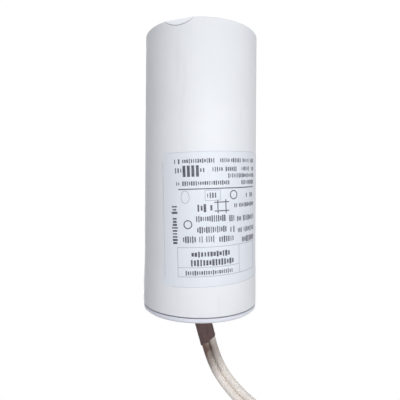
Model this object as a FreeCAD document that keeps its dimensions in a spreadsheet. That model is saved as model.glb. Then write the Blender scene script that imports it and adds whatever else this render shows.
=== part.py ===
import FreeCAD
import Part
import math
import os

import Sketcher

# Motor start capacitor: a round moulded can that stands on its closed end, with a film
# winding sealed inside and two insulated leads out of the middle of the lid.
#
# Frame, in millimetres: the origin is the middle of the closed end, +Z runs up the can to
# the lid, and -Y is the side that carries the start of the label. The leads lean to -X.

# Driving sizes, in millimetres and degrees.
SIZES = [
    # the can
    ("CanDiameter", 45.0),
    ("CanHeight", 106.4),
    ("CanWall", 1.6),
    ("CanFloor", 2.4),
    ("BaseRadius", 0.6),
    ("MouthFlare", 0.25),
    ("MouthStraight", 8.0),
    ("MouthTaper", 10.0),
    ("RimChamfer", 0.2),
    ("SeatDepth", 5.6),
    ("SeatWall", 1.35),
    ("FlatHeight", 2.4),
    ("FlatDepth", 0.8),
    ("FlatBearing", -68.5),
    # the lid, which takes its diameters from the can's mouth and its seat
    ("LidInset", 0.1),
    ("LidFlange", 2.0),
    ("LidPlate", 2.4),
    ("LidEdge", 0.55),
    ("ShadowGap", 0.25),
    ("ShadowDepth", 0.8),
    ("SpigotEndGap", 0.6),
    ("SpigotWall", 1.5),
    ("SpigotClearance", 0.05),
    ("CollarDiameter", 13.0),
    ("CollarHeight", 1.5),
    ("BossDepth", 3.0),
    ("RibCount", 6),
    ("RibThickness", 1.2),
    ("RibDepth", 1.8),
    # the two leads and the sleeve that holds them together
    ("LeadDiameter", 3.1),
    ("LeadGap", 0.1),
    ("SleeveWall", 0.3),
    ("SleeveClearance", 0.3),
    ("SleeveInside", 3.4),
    ("LeadStraight", 2.9),
    ("BendBelowLid", 2.0),
    ("BendRadius", 28.0),
    ("BendAngle", 15.5),
    ("SleeveStraight", 10.0),
    ("StrandDiameter", 1.3),
    ("BareLength", 8.0),
    # the winding, which takes its diameter and length from the can's bore and height
    ("ResinWall", 1.5),
    ("WindingHeadroom", 19.8),
    ("SpacerHeight", 3.0),
    ("SpacerWidth", 4.0),
    ("SprayThickness", 0.6),
    ("CoreDiameter", 8.0),
    ("CoreBore", 5.0),
    ("WrapThickness", 0.4),
    ("InsulatorThickness", 1.0),
    ("InsulatorBore", 6.0),
    ("InsulatorWeb", 1.2),
    ("JointClearance", 0.8),
    ("ResinCover", 6.4),
    # the soldered joints on the two sprayed ends
    ("SolderDiameter", 6.0),
    ("SolderTop", 2.0),
    ("SolderHeight", 1.8),
    ("CoreGap", 0.5),
    ("UpperStrand", 3.0),
    ("LowerStrand", 0.8),
    ("StrandSink", 0.25),
    ("StrandBend", 1.2),
    ("StrandPast", 1.5),
    ("LeadTurnRadius", 6.0),
    # the label
    ("LabelDrop", 11.4),
    ("LabelHeight", 48.0),
    ("LabelWidth", 60.0),
    ("LabelEdge", -54.0),
    ("LabelThickness", 0.08),
    ("LabelCorner", 2.0),
    ("LabelTilt", 2.2),
]

# The free leads, from the end of the sleeve to where the insulation is stripped. They rise
# clear of the lid, bend over to one side and come down with their ends on the surface that
# the can stands on.
LEAD_1_ROUTE = [
    (-5.233, 0.0, 123.091),
    (-7.103, 0.0, 129.837),
    (-11.9, 0.0, 138.6),
    (-20.5, -0.3, 147.7),
    (-32.3, -2.3, 154.8),
    (-45.5, -6.3, 157.6),
    (-58.5, -10.8, 155.1),
    (-70.5, -14.8, 147.0),
    (-80.4, -17.3, 131.0),
    (-85.6, -18.3, 101.5),
    (-85.0, -18.3, 61.2),
    (-86.8, -17.8, 27.3),
    (-92.9, -17.0, 8.5),
]
LEAD_2_ROUTE = [
    (-2.149, 0.0, 123.946),
    (-4.180, 0.0, 131.270),
    (-9.4, 0.0, 140.7),
    (-18.3, -0.2, 150.2),
    (-31.0, -1.2, 158.1),
    (-45.8, -4.2, 161.6),
    (-60.6, -8.2, 159.2),
    (-74.1, -12.2, 150.7),
    (-83.9, -14.9, 135.6),
    (-89.6, -15.4, 104.8),
    (-88.9, -14.8, 64.0),
    (-90.0, -13.6, 29.5),
    (-95.0, -12.4, 8.6),
]
ARC_SHARE = 0.45
TURN_SHARE = 0.8
HALF_TURN = 180.0
# How nearly an edge has to match a place or a length to be picked, as a share of it.
MATCH = 0.002
LABEL_MATCH = 0.03

# Sums of driving sizes that several pieces share, as expressions over the sheet.
CAN_RADIUS = "Sizes.CanDiameter / 2"
MOUTH_RADIUS = "(Sizes.CanDiameter / 2 + Sizes.MouthFlare)"
BORE_RADIUS = "(Sizes.CanDiameter / 2 - Sizes.CanWall)"
MOUTH_BORE = "(" + MOUTH_RADIUS + " - Sizes.CanWall)"
SEAT_RADIUS = "(" + MOUTH_RADIUS + " - Sizes.SeatWall)"
SEAT_BOTTOM = "(Sizes.CanHeight - Sizes.SeatDepth)"
LID_RADIUS = "(" + MOUTH_RADIUS + " - Sizes.LidInset)"
SPIGOT_RADIUS = "(" + SEAT_RADIUS + " - Sizes.SpigotClearance)"
SPIGOT_INNER = "(" + SPIGOT_RADIUS + " - Sizes.SpigotWall)"
SPIGOT_END = "(" + SEAT_BOTTOM + " + Sizes.SpigotEndGap)"
TAPER_START = "(Sizes.CanHeight - Sizes.MouthStraight - Sizes.MouthTaper)"
TAPER_END = "(Sizes.CanHeight - Sizes.MouthStraight)"
LID_TOP = "(Sizes.CanHeight + Sizes.LidFlange)"
LID_UNDER = "(" + LID_TOP + " - Sizes.LidPlate)"
BOSS_UNDER = "(" + LID_UNDER + " - Sizes.BossDepth)"
COLLAR_TOP = "(" + LID_TOP + " + Sizes.CollarHeight)"
LEAD_PITCH = "(Sizes.LeadDiameter + Sizes.LeadGap)"
SLEEVE_RADIUS = "(Sizes.LeadDiameter / 2 + Sizes.SleeveWall)"
BEND_START = "(" + LID_TOP + " - Sizes.BendBelowLid)"
SLEEVE_START = "(" + BEND_START + " - Sizes.SleeveInside)"
SPRAY_START = "(Sizes.CanFloor + Sizes.SpacerHeight)"
SPRAY_END = "(Sizes.CanHeight - Sizes.WindingHeadroom)"
WINDING_START = "(" + SPRAY_START + " + Sizes.SprayThickness)"
WINDING_END = "(" + SPRAY_END + " - Sizes.SprayThickness)"
FILM_WIDTH = "(" + WINDING_END + " - " + WINDING_START + ")"
ROLL_LENGTH = "(" + SPRAY_END + " - " + SPRAY_START + ")"
WRAP_RADIUS = "(" + BORE_RADIUS + " - Sizes.ResinWall)"
WINDING_RADIUS = "(" + WRAP_RADIUS + " - Sizes.WrapThickness)"
RESIN_TOP = "(" + SPRAY_END + " + Sizes.ResinCover)"
JOINT_BORE = "(Sizes.SolderDiameter / 2 + Sizes.JointClearance)"
UPPER_JOINT = "(Sizes.InsulatorBore / 2 + Sizes.InsulatorWeb + " + JOINT_BORE + ")"
LOWER_JOINT = "(Sizes.CoreDiameter / 2 + Sizes.CoreGap + Sizes.SolderDiameter / 2)"
SPACER_BORE = "(" + WRAP_RADIUS + " - Sizes.SpacerWidth)"
LABEL_TOP = "(Sizes.CanHeight - Sizes.LabelDrop)"
LABEL_BOTTOM = "(" + LABEL_TOP + " - Sizes.LabelHeight)"
LABEL_TURN = "(Sizes.LabelWidth / (Sizes.CanDiameter / 2) * 180 / pi)"

doc = FreeCAD.newDocument("capacitor")
sheet = doc.addObject("Spreadsheet::Sheet", "Sizes")
for row, (alias, size) in enumerate(SIZES, start=1):
    sheet.set("A%d" % row, alias)
    sheet.set("B%d" % row, str(size))
    sheet.setAlias("B%d" % row, alias)
doc.recompute()

gauge = doc.addObject("App::FeaturePython", "Gauge")
gauge.addProperty("App::PropertyFloat", "Reading")


def number(expression):
    """What an expression over the sheet comes to, in millimetres or degrees."""
    gauge.setExpression("Reading", expression)
    gauge.recompute()
    return gauge.Reading


def origin_plane(body, role):
    return next(f for f in body.Origin.OriginFeatures if f.Role == role)


def new_body(name):
    body = doc.addObject("PartDesign::Body", name)
    body.Label = name
    return body


def new_sketch(body, name, role, height=None, turn=None):
    """A sketch on one of the body's origin planes, raised to a height or turned about Z."""
    sketch = body.newObject("Sketcher::SketchObject", name)
    sketch.AttachmentSupport = [(origin_plane(body, role), "")]
    sketch.MapMode = "FlatFace"
    if height is not None:
        sketch.setExpression("AttachmentOffset.Base.z", height)
    if turn is not None:
        sketch.AttachmentOffset = FreeCAD.Placement(
            FreeCAD.Vector(0, 0, 0), FreeCAD.Rotation(FreeCAD.Vector(0, 1, 0), 1.0)
        )
        sketch.setExpression("AttachmentOffset.Rotation.Angle", turn)
    return sketch


def bind(sketch, constraint, expression):
    """Adds a constraint and ties its value to the sheet."""
    index = sketch.addConstraint(constraint)
    sketch.setExpression("Constraints[%d]" % index, expression)


def pin_vertex(sketch, line, corner):
    """Holds the first point of a line at a corner given as two expressions."""
    across, up = corner
    if across == "0":
        sketch.addConstraint(Sketcher.Constraint("PointOnObject", line, 1, -2))
    else:
        value = number(across)
        bind(sketch, Sketcher.Constraint("DistanceX", -1, 1, line, 1, value), across)
    if up == "0":
        sketch.addConstraint(Sketcher.Constraint("PointOnObject", line, 1, -1))
    else:
        value = number(up)
        bind(sketch, Sketcher.Constraint("DistanceY", -1, 1, line, 1, value), up)


def add_outline(sketch, corners):
    """A closed outline of straight lines through corners, each tied to the sheet."""
    spots = [FreeCAD.Vector(number(x), number(y), 0) for x, y in corners]
    lines = []
    for start, end in zip(spots, spots[1:] + spots[:1]):
        lines.append(sketch.addGeometry(Part.LineSegment(start, end), False))
    for line, following in zip(lines, lines[1:] + lines[:1]):
        sketch.addConstraint(Sketcher.Constraint("Coincident", line, 2, following, 1))
    for line, corner in zip(lines, corners):
        pin_vertex(sketch, line, corner)


def add_circle(sketch, radius, across="0"):
    """A circle centred on the sketch's own X axis."""
    centre = FreeCAD.Vector(number(across), 0, 0)
    ring = sketch.addGeometry(
        Part.Circle(centre, FreeCAD.Vector(0, 0, 1), number(radius)), False
    )
    bind(sketch, Sketcher.Constraint("Radius", ring, number(radius)), radius)
    sketch.addConstraint(Sketcher.Constraint("PointOnObject", ring, 3, -1))
    if across == "0":
        sketch.addConstraint(Sketcher.Constraint("PointOnObject", ring, 3, -2))
    else:
        value = number(across)
        bind(sketch, Sketcher.Constraint("DistanceX", -1, 1, ring, 3, value), across)


def add_slot(sketch, pitch, radius):
    """A round-ended slot along X about the origin: two half circles and two lines."""
    half = number(pitch) / 2
    round_by = number(radius)
    up = FreeCAD.Vector(0, 0, 1)
    right = Part.Circle(FreeCAD.Vector(half, 0, 0), up, round_by)
    left = Part.Circle(FreeCAD.Vector(-half, 0, 0), up, round_by)
    quarter = math.pi / 2
    end_right = sketch.addGeometry(Part.ArcOfCircle(right, -quarter, quarter), False)
    end_left = sketch.addGeometry(Part.ArcOfCircle(left, quarter, 3 * quarter), False)
    top = sketch.addGeometry(
        Part.LineSegment(
            FreeCAD.Vector(half, round_by, 0), FreeCAD.Vector(-half, round_by, 0)
        ),
        False,
    )
    bottom = sketch.addGeometry(
        Part.LineSegment(
            FreeCAD.Vector(-half, -round_by, 0), FreeCAD.Vector(half, -round_by, 0)
        ),
        False,
    )
    sketch.addConstraint(Sketcher.Constraint("Tangent", end_right, 2, top, 1))
    sketch.addConstraint(Sketcher.Constraint("Tangent", top, 2, end_left, 1))
    sketch.addConstraint(Sketcher.Constraint("Tangent", end_left, 2, bottom, 1))
    sketch.addConstraint(Sketcher.Constraint("Tangent", bottom, 2, end_right, 1))
    sketch.addConstraint(Sketcher.Constraint("PointOnObject", end_right, 3, -1))
    sketch.addConstraint(Sketcher.Constraint("PointOnObject", end_left, 3, -1))
    bind(sketch, Sketcher.Constraint("Radius", end_right, round_by), radius)
    half_pitch = pitch + " / 2"
    bind(sketch, Sketcher.Constraint("DistanceX", -1, 1, end_right, 3, half), half_pitch)
    bind(sketch, Sketcher.Constraint("DistanceX", end_left, 3, -1, 1, half), half_pitch)


def revolve(body, sketch, angle=None):
    """Turns a profile about the can's axis, all the way round unless an angle is given."""
    turned = body.newObject("PartDesign::Revolution", sketch.Name + "_turned")
    turned.Profile = sketch
    turned.ReferenceAxis = (sketch, ["V_Axis"])
    turned.Angle = 360.0
    if angle is not None:
        turned.setExpression("Angle", angle)
    return turned


def pad(body, sketch, length, down=False):
    raised = body.newObject("PartDesign::Pad", sketch.Name + "_raised")
    raised.Profile = sketch
    raised.setExpression("Length", length)
    raised.Reversed = down
    return raised


def edges_where(feature, test):
    """The names of a feature's edges whose middle passes a test."""
    doc.recompute()
    names = []
    for number_of, edge in enumerate(feature.Shape.Edges, start=1):
        first, last = edge.ParameterRange
        if test(edge, edge.valueAt((first + last) / 2)):
            names.append("Edge%d" % number_of)
    return names


def ring_edges(feature, radius, height):
    """The circular edges at a radius from the can's axis and at a height."""

    def fits(edge, middle):
        away = math.hypot(middle.x, middle.y)
        near = MATCH * radius
        return abs(away - radius) < near and abs(middle.z - height) < near

    return edges_where(feature, fits)


def dress(body, kind, feature, edges, size):
    """A fillet or chamfer on edges of the body's last feature."""
    dressed = body.newObject(kind, feature.Name + "_edge")
    dressed.Base = (feature, edges)
    if kind == "PartDesign::Fillet":
        dressed.setExpression("Radius", size)
    else:
        dressed.setExpression("Size", size)
    return dressed


def tube_piece(name, outer, inner, height, length):
    """A plain ring about the can's axis, from a height upwards."""
    body = new_body(name)
    sketch = new_sketch(body, name + "_section", "XY_Plane", height=height)
    add_circle(sketch, outer)
    add_circle(sketch, inner)
    pad(body, sketch, length)
    return body


def wire_through(points, radii):
    """Straight runs through points, joined by tangent arcs of the given radii."""
    edges = []
    start = points[0]
    for before, corner, after, radius in zip(points, points[1:], points[2:], radii):
        incoming = (corner - before).normalize()
        outgoing = (after - corner).normalize()
        turn = incoming.getAngle(outgoing)
        reach = radius * math.tan(turn / 2)
        begin = corner - incoming * reach
        finish = corner + outgoing * reach
        inward = (outgoing - incoming).normalize()
        middle = corner + inward * (radius / math.cos(turn / 2) - radius)
        if (begin - start).Length > MATCH * reach:
            edges.append(Part.LineSegment(start, begin).toShape())
        edges.append(Part.Arc(begin, middle, finish).toShape())
        start = finish
    edges.append(Part.LineSegment(start, points[-1]).toShape())
    return Part.Wire(edges)


def round_bar(name, points, radii, diameter):
    """A round bar that follows straight runs and tangent arcs."""
    path = wire_through(points, radii)
    section = Part.Circle(points[0], points[1] - points[0], diameter / 2)
    bar = path.makePipe(Part.Face(Part.Wire(section.toShape())))
    expected = math.pi * (diameter / 2) ** 2 * path.Length
    if abs(bar.Volume / expected - 1) > 0.002:
        raise ValueError("%s: volume %.2f, not %.2f" % (name, bar.Volume, expected))
    piece = doc.addObject("Part::Feature", name)
    piece.Label = name
    piece.Shape = bar
    return piece, path.Length


def turn_within(radius, before, corner, after):
    """A lead's turn, no larger than the shorter of its two runs leaves room for."""
    incoming = corner - before
    outgoing = after - corner
    shorter = min(incoming.Length, outgoing.Length)
    return min(radius, TURN_SHARE * shorter / math.tan(incoming.getAngle(outgoing) / 2))


def route_radii(points):
    """The arcs of a free lead, each as large as the shorter of its two runs allows."""
    radii = []
    for before, corner, after in zip(points, points[1:], points[2:]):
        incoming = corner - before
        outgoing = after - corner
        shorter = min(incoming.Length, outgoing.Length)
        radii.append(ARC_SHARE * shorter / math.tan(incoming.getAngle(outgoing) / 2))
    return radii


# The can: one moulding, turned with its seat for the lid, with a wider mouth.
can = new_body("case")
can_profile = new_sketch(can, "can_profile", "XZ_Plane")
add_outline(
    can_profile,
    [
        ("0", "0"),
        (CAN_RADIUS, "0"),
        (CAN_RADIUS, TAPER_START),
        (MOUTH_RADIUS, TAPER_END),
        (MOUTH_RADIUS, "Sizes.CanHeight"),
        (SEAT_RADIUS, "Sizes.CanHeight"),
        (SEAT_RADIUS, SEAT_BOTTOM),
        (MOUTH_BORE, SEAT_BOTTOM),
        (MOUTH_BORE, TAPER_END),
        (BORE_RADIUS, TAPER_START),
        (BORE_RADIUS, "Sizes.CanFloor"),
        ("0", "Sizes.CanFloor"),
    ],
)
can_solid = revolve(can, can_profile)
can_rounded = dress(
    can,
    "PartDesign::Fillet",
    can_solid,
    ring_edges(can_solid, number(CAN_RADIUS), 0.0),
    "Sizes.BaseRadius",
)
can_rim = dress(
    can,
    "PartDesign::Chamfer",
    can_rounded,
    ring_edges(can_rounded, number(MOUTH_RADIUS), number("Sizes.CanHeight")),
    "Sizes.RimChamfer",
)
# A small flat on the closed end's corner, where the moulding was fed.
flat_profile = new_sketch(can, "flat_profile", "XZ_Plane", turn="Sizes.FlatBearing")
add_outline(
    flat_profile,
    [
        (CAN_RADIUS + " - Sizes.FlatDepth", "0"),
        (CAN_RADIUS, "Sizes.FlatHeight"),
        (CAN_RADIUS + " + Sizes.FlatHeight", "Sizes.FlatHeight"),
        (CAN_RADIUS + " + Sizes.FlatHeight", "0"),
    ],
)
can_flat = can.newObject("PartDesign::Pocket", "can_flat")
can_flat.Profile = flat_profile
can_flat.Midplane = True
can_flat.setExpression("Length", "Sizes.CanDiameter")

# The lid: a flange that covers the rim with a shadow gap round its edge, a spigot that fits
# the seat, and an outlet for the leads with a collar above the plate and a boss on ribs below.
lid = new_body("lid")
lid_profile = new_sketch(lid, "lid_profile", "XZ_Plane")
add_outline(
    lid_profile,
    [
        ("0", BOSS_UNDER),
        ("Sizes.CollarDiameter / 2", BOSS_UNDER),
        ("Sizes.CollarDiameter / 2", LID_UNDER),
        (SPIGOT_INNER, LID_UNDER),
        (SPIGOT_INNER, SPIGOT_END),
        (SPIGOT_RADIUS, SPIGOT_END),
        (SPIGOT_RADIUS, "Sizes.CanHeight"),
        (LID_RADIUS + " - Sizes.ShadowDepth", "Sizes.CanHeight"),
        (LID_RADIUS + " - Sizes.ShadowDepth", "Sizes.CanHeight + Sizes.ShadowGap"),
        (LID_RADIUS, "Sizes.CanHeight + Sizes.ShadowGap"),
        (LID_RADIUS, LID_TOP),
        ("Sizes.CollarDiameter / 2", LID_TOP),
        ("Sizes.CollarDiameter / 2", COLLAR_TOP),
        ("0", COLLAR_TOP),
    ],
)
lid_solid = revolve(lid, lid_profile)
lid_edge = dress(
    lid,
    "PartDesign::Chamfer",
    lid_solid,
    ring_edges(lid_solid, number(LID_RADIUS), number(LID_TOP)),
    "Sizes.LidEdge",
)
rib_profile = new_sketch(lid, "rib_profile", "XZ_Plane")
add_outline(
    rib_profile,
    [
        ("Sizes.CollarDiameter / 2 - Sizes.RibThickness", LID_UNDER + " - Sizes.RibDepth"),
        (SPIGOT_INNER + " + Sizes.SpigotWall / 2", LID_UNDER + " - Sizes.RibDepth"),
        (SPIGOT_INNER + " + Sizes.SpigotWall / 2", LID_UNDER),
        ("Sizes.CollarDiameter / 2 - Sizes.RibThickness", LID_UNDER),
    ],
)
rib = pad(lid, rib_profile, "Sizes.RibThickness")
rib.Midplane = True
doc.recompute()
ribs = lid.newObject("PartDesign::PolarPattern", "ribs")
ribs.Originals = [rib]
ribs.Axis = (origin_plane(lid, "Z_Axis"), "")
ribs.Angle = 360.0
ribs.setExpression("Occurrences", "Sizes.RibCount")
lid.Tip = ribs
outlet_section = new_sketch(lid, "outlet_section", "XY_Plane", height=BOSS_UNDER)
add_slot(outlet_section, LEAD_PITCH, "(" + SLEEVE_RADIUS + " + Sizes.SleeveClearance)")
outlet = lid.newObject("PartDesign::Pocket", "outlet")
outlet.Profile = outlet_section
outlet.Reversed = True
outlet.setExpression("Length", COLLAR_TOP + " - " + BOSS_UNDER)

# What stands inside the can, from its floor up.
spacer = tube_piece(
    "base_spacer", WRAP_RADIUS, SPACER_BORE, "Sizes.CanFloor", "Sizes.SpacerHeight"
)
lower_spray = tube_piece(
    "lower_end_spray",
    WINDING_RADIUS,
    "Sizes.CoreDiameter / 2",
    SPRAY_START,
    "Sizes.SprayThickness",
)
winding = tube_piece(
    "film_winding",
    WINDING_RADIUS,
    "Sizes.CoreDiameter / 2",
    WINDING_START,
    FILM_WIDTH,
)
upper_spray = tube_piece(
    "upper_end_spray",
    WINDING_RADIUS,
    "Sizes.CoreDiameter / 2",
    WINDING_END,
    "Sizes.SprayThickness",
)
core = tube_piece(
    "winding_core",
    "Sizes.CoreDiameter / 2",
    "Sizes.CoreBore / 2",
    SPRAY_START,
    ROLL_LENGTH,
)
wrap = tube_piece(
    "outer_wrap", WRAP_RADIUS, WINDING_RADIUS, SPRAY_START, ROLL_LENGTH
)

# The insulating disc on the upper spray, with holes for the joint and for the lead that
# goes down the core.
insulator = new_body("upper_insulator")
insulator_section = new_sketch(insulator, "insulator_section", "XY_Plane", height=SPRAY_END)
add_circle(insulator_section, WRAP_RADIUS)
add_circle(insulator_section, "Sizes.InsulatorBore / 2")
add_circle(insulator_section, JOINT_BORE, "-" + UPPER_JOINT)
pad(insulator, insulator_section, "Sizes.InsulatorThickness")

# The leads inside the can and the sleeve. The first starts at its joint on the upper spray,
# and the second comes up through the core from the lower one. Both turn with the sleeve.
lead_diameter = number("Sizes.LeadDiameter")
strand_diameter = number("Sizes.StrandDiameter")
half_pitch = number(LEAD_PITCH) / 2
spray_start = number(SPRAY_START)
spray_end = number(SPRAY_END)
sleeve_start = number(SLEEVE_START)
bend_start = number(BEND_START)
bend_radius = number("Sizes.BendRadius")
bend_angle = math.radians(number("Sizes.BendAngle"))
sleeve_straight = number("Sizes.SleeveStraight")
turn_radius = number("Sizes.LeadTurnRadius")
lead_straight = number("Sizes.LeadStraight")
upper_joint = FreeCAD.Vector(-number(UPPER_JOINT), 0, spray_end)
insulated_from = spray_end + number("Sizes.UpperStrand")
resin_top = number(RESIN_TOP)
lean = FreeCAD.Vector(-math.sin(bend_angle), 0, math.cos(bend_angle))


def through_sleeve(across):
    """The bend's corner and the sleeve's end for a lead beside the sleeve's centre line."""
    radius = bend_radius + across
    reach = radius * math.tan(bend_angle / 2)
    corner = FreeCAD.Vector(across, 0, bend_start + reach)
    return radius, corner, corner + lean * (reach + sleeve_straight)


near_radius, near_corner, near_end = through_sleeve(-half_pitch)
far_radius, far_corner, far_end = through_sleeve(half_pitch)
lead_1_start = FreeCAD.Vector(upper_joint.x, 0, insulated_from)
step_up = FreeCAD.Vector(upper_joint.x, 0, insulated_from + lead_straight)
step_in = FreeCAD.Vector(-half_pitch, 0, sleeve_start - lead_straight)
lead_1_inner, _ = round_bar(
    "lead_1_inner",
    [lead_1_start, step_up, step_in, near_corner, near_end],
    [
        turn_within(turn_radius, lead_1_start, step_up, step_in),
        turn_within(turn_radius, step_up, step_in, near_corner),
        near_radius,
    ],
    lead_diameter,
)
strand_top = spray_start + number("Sizes.LowerStrand")
lead_2_start = FreeCAD.Vector(0, 0, strand_top)
out_of_core = FreeCAD.Vector(0, 0, resin_top)
step_across = FreeCAD.Vector(half_pitch, 0, sleeve_start - lead_straight)
lead_2_inner, _ = round_bar(
    "lead_2_inner",
    [lead_2_start, out_of_core, step_across, far_corner, far_end],
    [
        turn_within(turn_radius, lead_2_start, out_of_core, step_across),
        turn_within(turn_radius, out_of_core, step_across, far_corner),
        far_radius,
    ],
    lead_diameter,
)

# The bare strands at the two joints, and the solder over them.
upper_strand, _ = round_bar(
    "lead_1_strand",
    [upper_joint, FreeCAD.Vector(upper_joint.x, 0, insulated_from)],
    [],
    strand_diameter,
)
strand_low = spray_start - number("Sizes.StrandSink") - strand_diameter / 2
lower_joint = number(LOWER_JOINT)
lower_strand, _ = round_bar(
    "lead_2_strand",
    [
        FreeCAD.Vector(0, 0, strand_top),
        FreeCAD.Vector(0, 0, strand_low),
        FreeCAD.Vector(lower_joint + number("Sizes.StrandPast"), 0, strand_low),
    ],
    [number("Sizes.StrandBend")],
    strand_diameter,
)


def solder_joint(name, strand, across, height, downwards):
    """A cone of solder on a sprayed end, cut away where the strand lies in it."""
    cone = doc.addObject("Part::Cone", name + "_cone")
    cone.setExpression("Radius1", "Sizes.SolderDiameter / 2")
    cone.setExpression("Radius2", "Sizes.SolderTop / 2")
    cone.setExpression("Height", "Sizes.SolderHeight")
    cone.setExpression("Placement.Base.x", across)
    cone.setExpression("Placement.Base.z", height)
    if downwards:
        cone.Placement.Rotation = FreeCAD.Rotation(FreeCAD.Vector(1, 0, 0), HALF_TURN)
    joint = doc.addObject("Part::Cut", name)
    joint.Label = name
    joint.Base = cone
    joint.Tool = strand
    return joint


upper_solder = solder_joint(
    "upper_solder", upper_strand, "-" + UPPER_JOINT, SPRAY_END, False
)
lower_solder = solder_joint(
    "lower_solder", lower_strand, LOWER_JOINT, SPRAY_START, True
)

# The sealing resin: it takes the can's inner form up to its fill line, round the wrapped
# winding and over its top, so everything that stands up out of the winding is cast into it.
can_inside = new_body("can_inside")
inside_profile = new_sketch(can_inside, "inside_profile", "XZ_Plane")
add_outline(
    inside_profile,
    [
        ("0", "Sizes.CanFloor"),
        (BORE_RADIUS, "Sizes.CanFloor"),
        (BORE_RADIUS, TAPER_START),
        (MOUTH_BORE, TAPER_END),
        (MOUTH_BORE, SEAT_BOTTOM),
        ("0", SEAT_BOTTOM),
    ],
)
revolve(can_inside, inside_profile)


def upright_cylinder(name, radius, bottom, height):
    cylinder = doc.addObject("Part::Cylinder", name)
    cylinder.setExpression("Radius", radius)
    cylinder.setExpression("Height", height)
    cylinder.setExpression("Placement.Base.z", bottom)
    return cylinder


fill = upright_cylinder(
    "fill", "Sizes.CanDiameter", "Sizes.CanFloor", RESIN_TOP + " - Sizes.CanFloor"
)
wound_pack = upright_cylinder(
    "wound_pack", WRAP_RADIUS, "Sizes.CanFloor", SPRAY_END + " - Sizes.CanFloor"
)
poured = doc.addObject("Part::Common", "poured")
poured.Base = can_inside
poured.Tool = fill
cast_in = doc.addObject("Part::MultiFuse", "cast_in")
cast_in.Shapes = [
    wound_pack,
    insulator,
    upper_solder,
    upper_strand,
    lead_1_inner,
    lead_2_inner,
]
resin = doc.addObject("Part::Cut", "sealing_resin")
resin.Label = "sealing_resin"
resin.Base = poured
resin.Tool = cast_in

# The sleeve: a thin tube of slot section, swept along the middle of the pair of leads.
sleeve = new_body("lead_sleeve")
sleeve_section = new_sketch(sleeve, "sleeve_section", "XY_Plane", height=SLEEVE_START)
add_slot(sleeve_section, LEAD_PITCH, SLEEVE_RADIUS)
add_slot(sleeve_section, LEAD_PITCH, "Sizes.LeadDiameter / 2")
sleeve_path = new_sketch(sleeve, "sleeve_path", "XZ_Plane")
bend_centre = FreeCAD.Vector(-bend_radius, bend_start, 0)
bend_circle = Part.Circle(bend_centre, FreeCAD.Vector(0, 0, 1), bend_radius)
arc_end = bend_centre + FreeCAD.Vector(math.cos(bend_angle), math.sin(bend_angle), 0) * bend_radius
path_end = arc_end + FreeCAD.Vector(lean.x, lean.z, 0) * sleeve_straight
straight_in = sleeve_path.addGeometry(
    Part.LineSegment(FreeCAD.Vector(0, sleeve_start, 0), FreeCAD.Vector(0, bend_start, 0)), False
)
bend = sleeve_path.addGeometry(Part.ArcOfCircle(bend_circle, 0, bend_angle), False)
straight_out = sleeve_path.addGeometry(Part.LineSegment(arc_end, path_end), False)
sleeve_path.addConstraint(Sketcher.Constraint("Tangent", straight_in, 2, bend, 1))
sleeve_path.addConstraint(Sketcher.Constraint("Tangent", bend, 2, straight_out, 1))
sleeve_path.addConstraint(Sketcher.Constraint("PointOnObject", straight_in, 1, -2))
sleeve_path.addConstraint(Sketcher.Constraint("PointOnObject", straight_in, 2, -2))
bind(
    sleeve_path,
    Sketcher.Constraint("DistanceY", -1, 1, straight_in, 1, sleeve_start),
    SLEEVE_START,
)
bind(
    sleeve_path, Sketcher.Constraint("DistanceY", -1, 1, straight_in, 2, bend_start), BEND_START
)
bind(sleeve_path, Sketcher.Constraint("Radius", bend, bend_radius), "Sizes.BendRadius")
bind(
    sleeve_path,
    Sketcher.Constraint("Distance", straight_out, sleeve_straight),
    "Sizes.SleeveStraight",
)
bind(
    sleeve_path,
    Sketcher.Constraint("Angle", straight_in, 1, straight_out, 1, bend_angle),
    "Sizes.BendAngle",
)
sleeve_swept = sleeve.newObject("PartDesign::AdditivePipe", "sleeve_swept")
sleeve_swept.Profile = sleeve_section
sleeve_swept.Spine = (sleeve_path, [])

# The free leads and their bare ends.
for name, route in (("lead_1", LEAD_1_ROUTE), ("lead_2", LEAD_2_ROUTE)):
    points = [FreeCAD.Vector(*point) for point in route]
    radii = route_radii(points)
    _, length = round_bar(name, points, radii, lead_diameter)
    heading = (points[-1] - points[-2]).normalize()
    tip = points[-1] + heading * number("Sizes.BareLength")
    round_bar(name + "_bare_end", [points[-1], tip], [], strand_diameter)
    print("%s: %.1f mm long, radii %s" % (name, length, [round(r, 1) for r in radii]))

# The label: a thin film that follows the can and the start of its taper, put on slightly
# askew. A thick blank is cut to the label's outline, and the film is what they share.
label_film = new_body("label_film")
film_profile = new_sketch(label_film, "film_profile", "XZ_Plane")
taper_share = "Sizes.MouthFlare / Sizes.MouthTaper"
film_rise = "(Sizes.LabelWidth * tan(Sizes.LabelTilt))"
film_low = "(" + LABEL_BOTTOM + " - " + film_rise + ")"
film_top = "(" + LABEL_TOP + " + " + film_rise + ")"
film_flare = "(" + CAN_RADIUS + " + (" + film_top + " - " + TAPER_START + ") * " + taper_share + ")"
add_outline(
    film_profile,
    [
        (CAN_RADIUS, film_low),
        (CAN_RADIUS + " + Sizes.LabelThickness", film_low),
        (CAN_RADIUS + " + Sizes.LabelThickness", TAPER_START),
        (film_flare + " + Sizes.LabelThickness", film_top),
        (film_flare, film_top),
        (CAN_RADIUS, TAPER_START),
    ],
)
revolve(label_film, film_profile)
label_blank = new_body("label_blank")
blank_profile = new_sketch(label_blank, "blank_profile", "XZ_Plane")
add_outline(
    blank_profile,
    [
        (CAN_RADIUS + " - Sizes.CanWall", film_low),
        (CAN_RADIUS + " + Sizes.CanWall", film_low),
        (CAN_RADIUS + " + Sizes.CanWall", film_top),
        (CAN_RADIUS + " - Sizes.CanWall", film_top),
    ],
)
revolve(label_blank, blank_profile, LABEL_TURN)
label_blank.setExpression("Placement.Rotation.Angle", "Sizes.LabelEdge - " + LABEL_TURN)
slab = doc.addObject("Part::Box", "label_slab")
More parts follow.
